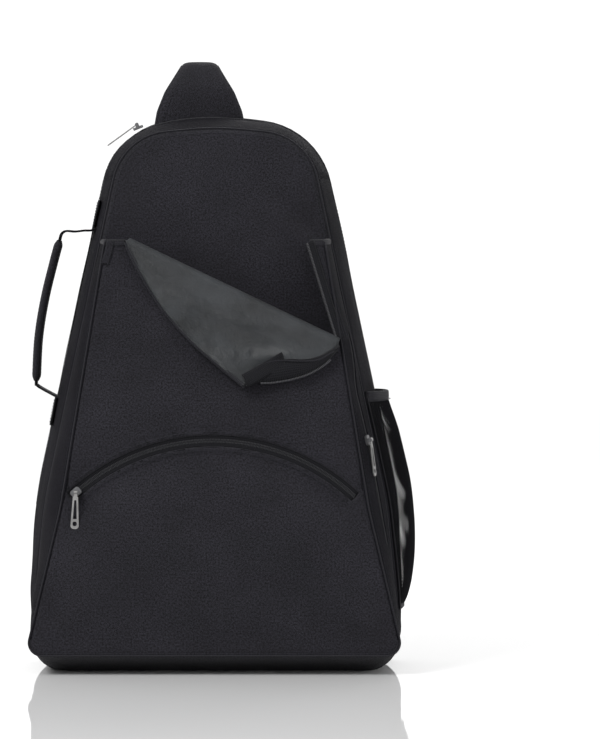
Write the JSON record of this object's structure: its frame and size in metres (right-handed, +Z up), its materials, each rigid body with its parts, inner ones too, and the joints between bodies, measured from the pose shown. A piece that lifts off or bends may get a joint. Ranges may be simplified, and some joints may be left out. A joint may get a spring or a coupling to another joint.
{
  "type": "racket backpack",
  "caption": "Soft triangular backpack for rackets: zipped front pocket with its corner folded open, lower pouch, mesh side pocket, side carry handle and padded shoulder straps.",
  "frame": {"origin": "on the floor, at the middle of the base", "axes": "+Z up along the bag's height, -Y out of the pocket's front, +X towards the mesh pocket"},
  "size_m": [0.3923, 0.2136, 0.618],
  "materials": {
    "shell_fabric": "matt plain-weave polyester",
    "lining_fabric": "smooth coated lining cloth",
    "binding_tape": "ribbed binding tape",
    "zip_tape": "woven zip tape",
    "zip_coil": "nylon coil",
    "slider_metal": "dark nickel",
    "pull_metal": "gunmetal plating",
    "webbing": "woven webbing",
    "grip_cover": "stitched padded sleeve",
    "mesh": "open elastic mesh",
    "pad_fabric": "padded, air mesh on the inside",
    "foam": "closed-cell foam",
    "board": "stiffener sheet",
    "lock_plastic": "moulded acetal"
  },
  "bodies": {
    "pack": {"back_foam": "foam", "back_lining": "lining_fabric", "back_panel": "pad_fabric", "base_board": "board", "base_panel": "shell_fabric", "carry_root_lower": "webbing", "carry_root_upper": "webbing", "carry_tab_lower": "webbing", "carry_tab_upper": "webbing", "flap_fold_cloth": "shell_fabric", "flap_zip_tape_body": "zip_tape", "front_panel": "shell_fabric", "main_zip_tape": "zip_tape", "mesh_pocket": "mesh", "mesh_pocket_binding": "binding_tape", "pad_webbing_left": "webbing", "pad_webbing_right": "webbing", "pocket_base": "shell_fabric", "pocket_front": "shell_fabric", "pocket_gusset_left": "shell_fabric", "pocket_gusset_right": "shell_fabric", "pocket_zip_strip": "shell_fabric", "pouch_front": "shell_fabric", "pouch_rear_wall": "lining_fabric", "pouch_zip_coil": "zip_coil", "pouch_zip_tape": "zip_tape", "racket_zip_coil": "zip_coil", "racket_zip_tape": "zip_tape", "shoulder_pad_left": "pad_fabric", "shoulder_pad_right": "pad_fabric", "side_panel_left": "shell_fabric", "side_panel_right": "shell_fabric", "strap_anchor_left": "shell_fabric", "strap_anchor_right": "shell_fabric", "strap_webbing_left": "webbing", "strap_webbing_right": "webbing", "strap_yoke": "pad_fabric", "top_panel_front": "shell_fabric", "top_panel_rear": "shell_fabric"},
    "flap": {"flap_panel": "shell_fabric", "flap_lining": "lining_fabric", "flap_binding": "binding_tape", "flap_zip_tape": "zip_tape"},
    "racket_slider": {"racket_zip_slider": "slider_metal"},
    "racket_pull": {"racket_zip_pull": "pull_metal"},
    "pouch_slider": {"pouch_zip_slider": "slider_metal"},
    "pouch_pull": {"pouch_zip_pull": "pull_metal"},
    "main_slider": {"main_zip_slider": "slider_metal"},
    "main_pull": {"main_zip_pull": "pull_metal"},
    "carry_handle": {"carry_strap": "webbing", "carry_grip": "grip_cover"},
    "lock_left": {"ladder_lock_left": "lock_plastic"},
    "lock_right": {"ladder_lock_right": "lock_plastic"}
  },
  "joints": [
    {"name": "flap_fold", "type": "hinge", "parent": "pack", "child": "flap", "pos_m": [0.127, -0.06255, 0.3311], "axis": [-0.9025, 0.0346, 0.4294], "range_deg": [0, 180], "deforming": ["flap_fold_cloth"]},
    {"name": "racket_zip_slide", "type": "slide", "parent": "pack", "child": "racket_slider", "axis": [-0.2081, -0.0221, 0.9779], "range_m": [-0.096, 0.085]},
    {"name": "racket_pull_swing", "type": "hinge", "parent": "racket_slider", "child": "racket_pull", "pos_m": [0.15673, -0.05351, 0.23436], "axis": [-0.32, -0.9432, -0.0894], "range_deg": [0, 160]},
    {"name": "pouch_zip_slide", "type": "hinge", "parent": "pack", "child": "pouch_slider", "pos_m": [-0.0015, -0.08599, 0.025], "axis": [0, 0.9968, -0.0802], "range_deg": [0, 82]},
    {"name": "pouch_pull_swing", "type": "hinge", "parent": "pouch_slider", "child": "pouch_pull", "pos_m": [-0.13862, -0.07947, 0.18323], "axis": [-0.9994, 0.0028, 0.0348], "range_deg": [0, 160]},
    {"name": "main_zip_slide", "type": "hinge", "parent": "pack", "child": "main_slider", "pos_m": [0, 0.054, 0.3495], "axis": [0, 1, 0], "range_deg": [0, 44]},
    {"name": "main_pull_swing", "type": "hinge", "parent": "main_slider", "child": "main_pull", "pos_m": [-0.08187, 0.054, 0.55262], "axis": [0, 1, 0], "range_deg": [0, 150]},
    {"name": "carry_handle_swing", "type": "hinge", "parent": "pack", "child": "carry_handle", "pos_m": [-0.171, 0.022, 0.2795], "axis": [0.2166, 0, 0.9763], "range_deg": [-70, 70], "deforming": ["carry_root_upper", "carry_root_lower"]},
    {"name": "ladder_lock_left_tilt", "type": "hinge", "parent": "pack", "child": "lock_left", "pos_m": [-0.10018, 0.0991, 0.19153], "axis": [0.9333, 0, -0.359], "range_deg": [-12, 12], "deforming": ["strap_webbing_left"]},
    {"name": "ladder_lock_right_tilt", "type": "hinge", "parent": "pack", "child": "lock_right", "pos_m": [0.10018, 0.0991, 0.19153], "axis": [0.9333, 0, 0.359], "range_deg": [-12, 12], "deforming": ["strap_webbing_right"]}
  ]
}
